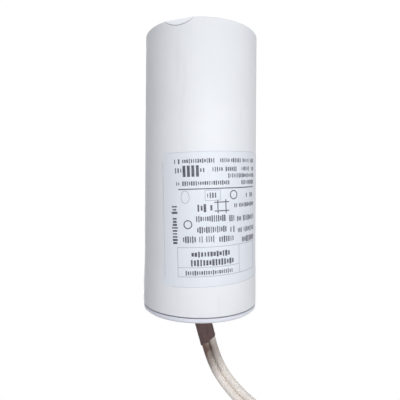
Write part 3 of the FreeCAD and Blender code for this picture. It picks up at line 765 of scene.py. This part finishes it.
def drawn_value(nodes, given, offset, low, high):
    """A value drawn between two others, with the tree's seed plus an offset."""
    seed = nodes.maths("ADD", given["Seed"], offset)
    drawn = nodes.add(
        "FunctionNodeRandomValue", {2: low, 3: high, "Seed": seed}, data_type="FLOAT"
    )
    return drawn.outputs[1]


def mark_rows_tree():
    """Rows of small upright bars: one row on each edge, with seeded widths and gaps."""
    inputs = {
        "Pitch": ("Float", MARK_PITCH),
        "Narrowest": ("Float", 0.00025),
        "Widest": ("Float", 0.00055),
        "Kept": ("Float", 0.86),
        "Thickness": ("Float", INK_THICKNESS),
        "Seed": ("Int", PRINT_SEED),
        "Ink": ("Material", None),
    }
    inputs.update(LABEL_INPUTS)
    tree, nodes, given = new_tree("Rows of marks", inputs)
    rows = nodes.add("GeometryNodeMeshToCurve", {"Mesh": given["Geometry"]})
    spaced = nodes.add(
        "GeometryNodeResampleCurve", {"Curve": rows, "Length": given["Pitch"]}, mode="LENGTH"
    )
    kept = nodes.add(
        "FunctionNodeRandomValue",
        {"Probability": given["Kept"], "Seed": given["Seed"]},
        data_type="BOOLEAN",
    )
    wide = drawn_value(nodes, given, 1.0, given["Narrowest"], given["Widest"])
    share = drawn_value(nodes, given, 2.0, LOWEST_MARK, HIGHEST_MARK)
    tall = nodes.add("GeometryNodeInputNamedAttribute", {"Name": "mark_height"})
    height = nodes.maths("MULTIPLY", tall, nodes.maths("MINIMUM", share, 1.0))
    scale = nodes.add("ShaderNodeCombineXYZ", {"X": wide, "Y": height, "Z": given["Thickness"]})
    along = nodes.add("GeometryNodeInputTangent")
    stand_bars(nodes, spaced, along, scale, given, kept.outputs[3])
    return tree


def ruled_lines_tree():
    """Ruled lines: a thin flat bar on each short edge of the drawn lines."""
    inputs = {
        "Line Width": ("Float", LINE_WIDTH),
        "Thickness": ("Float", INK_THICKNESS),
        "Ink": ("Material", None),
    }
    inputs.update(LABEL_INPUTS)
    tree, nodes, given = new_tree("Ruled lines", inputs)
    ends = nodes.add("GeometryNodeInputMeshEdgeVertices")
    span = nodes.vector_maths("SUBTRACT", ends.outputs["Position 2"], ends.outputs["Position 1"])
    held = nodes.add("GeometryNodeCaptureAttribute", domain="EDGE")
    held.capture_items.new("VECTOR", "Span")
    nodes.feed(held.inputs["Geometry"], given["Geometry"])
    nodes.feed(held.inputs["Span"], span)
    middles = nodes.add(
        "GeometryNodeMeshToPoints", {"Mesh": held.outputs["Geometry"]}, mode="EDGES"
    )
    size = nodes.vector_maths("LENGTH", held.outputs["Span"], output="Value")
    long = nodes.maths("MULTIPLY_ADD", given["Line Width"], 0.5, size)
    scale = nodes.add(
        "ShaderNodeCombineXYZ", {"X": long, "Y": given["Line Width"], "Z": given["Thickness"]}
    )
    stand_bars(nodes, middles, held.outputs["Span"], scale, given)
    return tree


def twisted_wires_tree():
    """Six wires wound round a straight middle one, closed at both ends."""
    inputs = {
        "Length": ("Float", BARE_LENGTH),
        "Diameter": ("Float", WIRE_DIAMETER),
        "Turns": ("Float", WIRE_TURNS),
        "Metal": ("Material", None),
    }
    tree, nodes, given = new_tree("Twisted wires", inputs)
    # The wires lie three across, so the radius of one is a sixth of the whole width.
    wire = nodes.maths("DIVIDE", given["Diameter"], 6.0)
    orbit = nodes.maths("MULTIPLY", wire, 2.0)
    spiral = nodes.add(
        "GeometryNodeCurveSpiral",
        {
            "Resolution": WIRE_STEPS,
            "Rotations": given["Turns"],
            "Start Radius": orbit,
            "End Radius": orbit,
            "Height": given["Length"],
        },
    )
    around = nodes.add("GeometryNodePoints", {"Count": OUTER_WIRES})
    index = nodes.add("GeometryNodeInputIndex")
    turn = nodes.maths("MULTIPLY", index, math.tau / OUTER_WIRES)
    turned = nodes.add("ShaderNodeCombineXYZ", {"Z": turn})
    outer = nodes.add(
        "GeometryNodeInstanceOnPoints",
        {"Points": around, "Instance": spiral, "Rotation": turned},
    )
    far = nodes.add("ShaderNodeCombineXYZ", {"Z": given["Length"]})
    middle = nodes.add("GeometryNodeCurvePrimitiveLine", {"End": far})
    joined = nodes.add("GeometryNodeJoinGeometry")
    nodes.feed(joined.inputs[0], outer)
    nodes.feed(joined.inputs[0], middle)
    real = nodes.add("GeometryNodeRealizeInstances", {"Geometry": joined})
    section = nodes.add(
        "GeometryNodeCurvePrimitiveCircle", {"Resolution": WIRE_SIDES, "Radius": wire}
    )
    wires = nodes.add(
        "GeometryNodeCurveToMesh", {"Curve": real, "Profile Curve": section, "Fill Caps": True}
    )
    smooth = nodes.add("GeometryNodeSetShadeSmooth", {"Geometry": wires})
    close_tree(nodes, smooth, given["Metal"])
    return tree


def row_edges(rows, upright=False):
    """Edges for rows of marks, flat, in metres, with each row's mark height."""
    mesh = bpy.data.meshes.new("rows")
    points = []
    heights = []
    for first, last, level, height in rows:
        for reach in (first, last):
            spot = (level, reach, 0.0) if upright else (reach, level, 0.0)
            points.append([value / 1000 for value in spot])
            heights.append(height / 1000)
    edges = [(index, index + 1) for index in range(0, len(points), 2)]
    mesh.from_pydata(points, edges, [])
    mesh.attributes.new("mark_height", "FLOAT", "POINT").data.foreach_set("value", heights)
    return mesh


def line_edges(lines, rings):
    """Edges for ruled lines and rings, cut short enough to follow the can."""
    mesh = bpy.data.meshes.new("lines")
    points = []
    edges = []
    for start, end in lines:
        start, end = Vector(start), Vector(end)
        pieces = max(1, math.ceil((end - start).length / PRINT_STEP))
        for index in range(pieces):
            for share in (index, index + 1):
                points.append(start.lerp(end, share / pieces))
            edges.append((len(points) - 2, len(points) - 1))
    for middle, width, height in rings:
        for index in range(PRINT_RING_STEPS):
            for share in (index, index + 1):
                turn = math.tau * share / PRINT_RING_STEPS
                reach = Vector((width / 2 * math.cos(turn), height / 2 * math.sin(turn)))
                points.append(Vector(middle) + reach)
            edges.append((len(points) - 2, len(points) - 1))
    mesh.from_pydata([(x / 1000, y / 1000, 0.0) for x, y in points], edges, [])
    return mesh


def sleeve_axis(across, run):
    """The point that far along the sleeve, and that far across from its centre line."""
    straight_in = BEND_START - SLEEVE_START
    arc = BEND_RADIUS * BEND_ANGLE
    if run <= straight_in:
        return Vector((across, 0.0, SLEEVE_START + run))
    turn = min((run - straight_in) / BEND_RADIUS, BEND_ANGLE)
    past = max(run - straight_in - arc, 0.0)
    radius = BEND_RADIUS + across
    spot = Vector(
        (radius * math.cos(turn) - BEND_RADIUS, 0.0, BEND_START + radius * math.sin(turn))
    )
    return spot + past * Vector((-math.sin(turn), 0.0, math.cos(turn)))


def sleeve_ring(run, half_width, half_depth, waist, slant):
    """One cross-section of the sleeve: a slot that draws in between the two leads."""
    ring = []
    for index in range(SLEEVE_RING_POINTS):
        turn = math.tau * index / SLEEVE_RING_POINTS
        cosine, sine = math.cos(turn), math.sin(turn)
        across = half_width * math.copysign(abs(cosine) ** SLOT_POWER, cosine)
        depth = half_depth * math.copysign(abs(sine) ** SLOT_POWER, sine)
        pinch = waist * math.exp(-((across / (PINCH_WIDTH * half_depth)) ** 2))
        depth -= math.copysign(min(pinch, abs(depth)), depth) if depth else 0.0
        spot = sleeve_axis(across, run + slant * across)
        ring.append(spot + Vector((0.0, depth, 0.0)))
    return ring


def seen_straight(nodes):
    """1 for rays that come from the camera, off a glossy surface or through a clear one."""
    rays = nodes.add("ShaderNodeLightPath").outputs
    seen = nodes.maths("MAXIMUM", rays["Is Camera Ray"], rays["Is Glossy Ray"])
    return nodes.maths("MAXIMUM", seen, rays["Is Transmission Ray"])


def mix_shaders(nodes, share, first, second):
    """Two shaders mixed, with the second where the share is 1."""
    return nodes.add("ShaderNodeMixShader", {"Fac": share, 1: first, 2: second})


class CAPACITOR_OT_stage(bpy.types.Operator):
    """Set the camera, the lamps, the floor and the light from all round"""

    bl_idname = "capacitor.stage"
    bl_label = "Stage"

    def execute(self, context):
        settings = context.scene.capacitor_stage
        self.place_camera(context, settings)
        self.light(settings)
        self.lay_floor()
        self.light_all_round(context, settings)
        context.scene.view_settings.view_transform = "Standard"
        return {"FINISHED"}

    def place_camera(self, context, settings):
        """The view is upside down and all but level, as the photograph shows the part."""
        data = bpy.data.cameras.new("camera")
        data.sensor_width = SENSOR_WIDTH
        data.lens = settings.lens
        data.shift_x, data.shift_y = CAMERA_SHIFT
        data.clip_start = NEAREST_SEEN
        camera = new_object("camera", data)
        across = Vector((-1.0, 0.0, 0.0))
        upwards = Vector((0.0, 0.0, -1.0))
        backwards = Vector((0.0, -1.0, 0.0))
        facing = Matrix((across, upwards, backwards)).transposed().to_4x4()
        roll = Matrix.Rotation(CAMERA_ROLL, 4, backwards)
        camera.matrix_world = Matrix.Translation(CAMERA_PLACE) @ roll @ facing
        context.scene.camera = camera

    def light(self, settings):
        """Three flat lamps that face the part."""
        for name, (place, size), power in (
            ("key", KEY_LAMP, settings.key_power),
            ("fill", FILL_LAMP, settings.fill_power),
            ("back", BACK_LAMP, settings.back_power),
        ):
            data = bpy.data.lights.new(name, "AREA")
            data.shape = "RECTANGLE"
            data.size, data.size_y = size
            data.energy = power
            lamp = new_object(name, data)
            away = Vector(place) - LAMP_AIM
            turned = away.to_track_quat("Z", "Y").to_matrix().to_4x4()
            lamp.matrix_world = Matrix.Translation(place) @ turned

    def lay_floor(self):
        """A wide flat floor under the closed end."""
        mesh = bpy.data.meshes.new("floor")
        signs = ((-1, -1), (1, -1), (1, 1), (-1, 1))
        corners = [(x * FLOOR_REACH, y * FLOOR_REACH, 0.0) for x, y in signs]
        mesh.from_pydata(corners, [], [(0, 1, 2, 3)])
        floor = new_object("floor", mesh)
        mesh.materials.append(self.floor_finish())

    def floor_finish(self):
        """White to the camera and in reflections, and still darker where a shadow falls."""
        material = bpy.data.materials.new("pale_floor")
        material.use_nodes = True
        material.cycles.emission_sampling = "NONE"
        nodes = Nodes(material.node_tree)
        matt = nodes.add("ShaderNodeBsdfDiffuse", {"Color": FLOOR_COLOUR})
        glow = nodes.add("ShaderNodeEmission", {"Color": WHITE, "Strength": FLOOR_GLOW})
        share = nodes.maths("MULTIPLY", seen_straight(nodes), FLOOR_GLOW_SHARE)
        mixed = mix_shaders(nodes, share, matt, glow)
        nodes.add("ShaderNodeOutputMaterial", {"Surface": mixed})
        return material

    def light_all_round(self, context, settings):
        """Even light on the part, and plain white behind it."""
        world = bpy.data.worlds.new("surround")
        world.use_nodes = True
        nodes = Nodes(world.node_tree)
        even = nodes.add(
            "ShaderNodeBackground", {"Color": SURROUND_COLOUR, "Strength": settings.surround}
        )
        white = nodes.add("ShaderNodeBackground", {"Color": WHITE, "Strength": 1.0})
        mixed = mix_shaders(nodes, seen_straight(nodes), even, white)
        nodes.add("ShaderNodeOutputWorld", {"Surface": mixed})
        context.scene.world = world


class CAPACITOR_OT_leads(bpy.types.Operator):
    """Make the two free leads and the twisted wires at their stripped ends"""

    bl_idname = "capacitor.leads"
    bl_label = "Leads"

    def execute(self, context):
        settings = context.scene.capacitor_leads
        insulation = lead_insulation("lead_insulation", settings.insulation, settings.painted_shadow)
        metal = dull_metal("tinned_wire", linear(188, 186, 180), 0.34, 2500.0, 0.00003)
        for name, route, length in (
            ("lead_1", LEAD_1_ROUTE, LEAD_1_LENGTH),
            ("lead_2", LEAD_2_ROUTE, LEAD_2_LENGTH),
        ):
            cord = self.lay_cord(name, route, settings.diameter, insulation)
            wires = self.strip_end(name, route, settings, metal)
        for node in ("lead_1_inner", "lead_2_inner"):
            dress_node(node, insulation)
        for node in ("lead_1_strand", "lead_2_strand"):
            dress_node(node, metal)
        return {"FINISHED"}

    def lay_cord(self, name, route, diameter, insulation):
        """One lead as a smooth round cord along its route."""
        data = bpy.data.curves.new(name + "_cord", "CURVE")
        data.dimensions = "3D"
        data.resolution_u = 16
        data.bevel_depth = diameter / 2
        data.bevel_resolution = 6
        data.use_fill_caps = True
        spline = data.splines.new("NURBS")
        spline.points.add(len(route) - 1)
        for point, spot in zip(spline.points, route):
            point.co = (*spot, 1.0)
        spline.order_u = 3
        spline.use_endpoint_u = True
        spline.use_smooth = True
        data.materials.append(insulation)
        cord = new_object(name + "_cord", data)
        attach(cord, "root")
        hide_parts(name)
        return cord

    def strip_end(self, name, route, settings, metal):
        """The twisted wires that stick out of the far end of a lead."""
        start, before = Vector(route[-1]), Vector(route[-2])
        heading = (start - before).normalized()
        wires = grown(
            name + "_wires",
            bpy.data.meshes.new("nothing"),
            twisted_wires_tree(),
            {
                "Length": BARE_LENGTH,
                "Diameter": settings.wire_diameter,
                "Turns": settings.wire_turns,
                "Metal": metal,
            },
        )
        turned = heading.to_track_quat("Z", "Y").to_matrix().to_4x4()
        wires.data.transform(Matrix.Translation(start) @ turned)
        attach(wires, "root")
        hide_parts(name + "_bare_end")
        return wires


class CAPACITOR_OT_sleeve(bpy.types.Operator):
    """Make the shrunk sleeve that holds the two leads together at the lid"""

    bl_idname = "capacitor.sleeve"
    bl_label = "Sleeve"

    def execute(self, context):
        settings = context.scene.capacitor_sleeve
        lead = context.scene.capacitor_leads.diameter
        total = BEND_START - SLEEVE_START + BEND_RADIUS * BEND_ANGLE + SLEEVE_STRAIGHT
        total += settings.past_end
        rings = []
        for side in ("outside", "inside"):
            wall = settings.wall if side == "outside" else 0.0
            half_depth = lead / 2 + wall
            half_width = LEAD_PITCH / 2 + half_depth
            order = range(SLEEVE_STEPS + 1)
            for step in order if side == "outside" else reversed(order):
                share = step / SLEEVE_STEPS
                drawn = settings.waist * max(0.0, share - PINCH_START) / (1 - PINCH_START)
                # Two waves of different lengths, multiplied, leave uneven creases.
                crease = CREASE_DEPTH * math.sin(19.0 * share) * math.sin(7.0 * share + 1.0)
                slant = settings.slant * max(0.0, share - SLANT_START) / (1 - SLANT_START)
                rings.append(
                    sleeve_ring(
                        total * share, half_width + crease, half_depth + crease, drawn, slant
                    )
                )
        mesh = bpy.data.meshes.new("shrunk_sleeve")
        self.skin(mesh, rings)
        sleeve = new_object("shrunk_sleeve", mesh)
        mesh.materials.append(shrunk_plastic("sleeve_plastic", settings.colour))
        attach(sleeve, "root")
        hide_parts("lead_sleeve")
        return {"FINISHED"}

    def skin(self, mesh, rings):
        """Joins the rings into one closed wall."""
        shape = bmesh.new()
        loops = [[shape.verts.new(spot) for spot in ring] for ring in rings]
        for first, second in zip(loops, loops[1:] + loops[:1]):
            for index in range(len(first)):
                following = (index + 1) % len(first)
                shape.faces.new(
                    (first[index], first[following], second[following], second[index])
                )
        bmesh.ops.recalc_face_normals(shape, faces=shape.faces)
        for face in shape.faces:
            face.smooth = True
        shape.to_mesh(mesh)
        shape.free()


class CAPACITOR_OT_label_print(bpy.types.Operator):
    """Print plain marks, lines and rings on the label, and lines of painted shade along its edges
    """

    bl_idname = "capacitor.label_print"
    bl_label = "Label Print"

    def execute(self, context):
        settings = context.scene.capacitor_print
        dark = printed_ink("dark_ink", settings.ink)
        pale = printed_ink("pale_ink", settings.pale_ink)
        rows_tree = mark_rows_tree()
        lines_tree = ruled_lines_tree()
        lift = LABEL_THICKNESS + settings.ink_thickness * INK_RISE
        shared = {"Thickness": settings.ink_thickness, "Lift": lift, "Seed": settings.seed}
        for name, base, pitch, narrow, wide, kept in (
            ("small_marks", row_edges(MARK_ROWS), 1.0, 0.00028, 0.00056, 0.92),
            ("bold_marks", row_edges(BOLD_ROWS), 1.40, 0.00050, 0.00088, 0.95),
            ("upright_marks", row_edges(UPRIGHT_ROWS, True), 1.30, 0.00042, 0.00080, 0.94),
        ):
            values = {
                "Pitch": settings.mark_pitch * pitch,
                "Narrowest": narrow,
                "Widest": wide,
                "Kept": kept,
                "Ink": dark,
            }
            self.finish_piece(grown(name, base, rows_tree, {**shared, **values}))
        for name, base, ink, width in (
            ("dark_lines", line_edges(DARK_LINES, DARK_RINGS), dark, 1.4),
            ("thick_lines", line_edges(THICK_LINES, []), dark, 4.0),
            ("pale_lines", line_edges(PALE_LINES, PALE_RINGS), pale, 0.9),
            ("edge_shade_lines", line_edges(EDGE_SHADE_LINES, []), pale, 0.45),
        ):
            values = {"Line Width": settings.line_width * width, "Ink": ink}
            self.finish_piece(grown(name, base, lines_tree, {**shared, **values}))
        return {"FINISHED"}

    def finish_piece(self, piece):
        """Print and painted edge shade ride on the part."""
        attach(piece, "root")


class CAPACITOR_OT_housing(bpy.types.Operator):
    """Finish the can, the lid and the label"""

    bl_idname = "capacitor.housing"
    bl_label = "Housing"

    def execute(self, context):
        settings = context.scene.capacitor_housing
        case = moulded_plastic("case_plastic", settings.case_colour, 0.42, SEAM, has_flat=True)
        dress_node("case", case)
        dress_node("lid", moulded_plastic("lid_plastic", settings.lid_colour, 0.38, SEAM))
        dress_node("label", satin_film("label_film", settings.label_colour))
        return {"FINISHED"}


class CAPACITOR_OT_inside(bpy.types.Operator):
    """Finish the winding and what else is sealed in the can"""

    bl_idname = "capacitor.inside"
    bl_label = "Inside"

    def execute(self, context):
        zinc = dull_metal("zinc_spray", linear(150, 152, 154), 0.62, 1800.0, 0.0002)
        solder = dull_metal("solder", linear(176, 176, 176), 0.28, 300.0, 0.0001)
        board = pressed_board("board", linear(190, 168, 130))
        finishes = {
            "sealing_resin": cast_resin("resin", linear(216, 208, 180)),
            "film_winding": wound_film("film", linear(186, 189, 193)),
            "outer_wrap": clear_film("clear_wrap", linear(214, 222, 226)),
            "winding_core": moulded_plastic("core_plastic", linear(222, 222, 214), 0.45),
            "base_spacer": moulded_plastic("spacer_plastic", linear(222, 222, 214), 0.5),
            "upper_insulator": board,
            "upper_end_spray": zinc,
            "lower_end_spray": zinc,
            "upper_solder": solder,
            "lower_solder": solder,
        }
        for node, material in finishes.items():
            dress_node(node, material)
        return {"FINISHED"}


class CAPACITOR_PT_pieces(bpy.types.Panel):
    """The capacitor's pieces and their settings"""

    bl_idname = "CAPACITOR_PT_pieces"
    bl_label = "Capacitor"
    bl_space_type = "VIEW_3D"
    bl_region_type = "UI"
    bl_category = "Capacitor"

    def draw(self, context):
        for operator, group in STEPS:
            box = self.layout.box()
            box.operator(operator.bl_idname)
            if group is None:
                continue
            settings = getattr(context.scene, group)
            for key in settings.__annotations__:
                box.prop(settings, key)


GROUPS = {
    "capacitor_stage": CapacitorStage,
    "capacitor_leads": CapacitorLeads,
    "capacitor_sleeve": CapacitorSleeve,
    "capacitor_print": CapacitorPrint,
    "capacitor_housing": CapacitorHousing,
}
STEPS = [
    (CAPACITOR_OT_stage, "capacitor_stage"),
    (CAPACITOR_OT_leads, "capacitor_leads"),
    (CAPACITOR_OT_sleeve, "capacitor_sleeve"),
    (CAPACITOR_OT_housing, "capacitor_housing"),
    (CAPACITOR_OT_label_print, "capacitor_print"),
    (CAPACITOR_OT_inside, None),
]
CLASSES = [*GROUPS.values(), *(operator for operator, _ in STEPS), CAPACITOR_PT_pieces]


def register():
    for kind in CLASSES:
        bpy.utils.register_class(kind)
    for name, group in GROUPS.items():
        setattr(bpy.types.Scene, name, PointerProperty(type=group))


def unregister():
    for name in GROUPS:
        delattr(bpy.types.Scene, name)
    for kind in reversed(CLASSES):
        bpy.utils.unregister_class(kind)


def main():
    """Sets the stage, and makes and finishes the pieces."""
    register()
    bpy.ops.capacitor.stage()
    bpy.ops.capacitor.leads()
    bpy.ops.capacitor.sleeve()
    bpy.ops.capacitor.housing()
    bpy.ops.capacitor.label_print()
    bpy.ops.capacitor.inside()


if __name__ == "__main__":
    main()
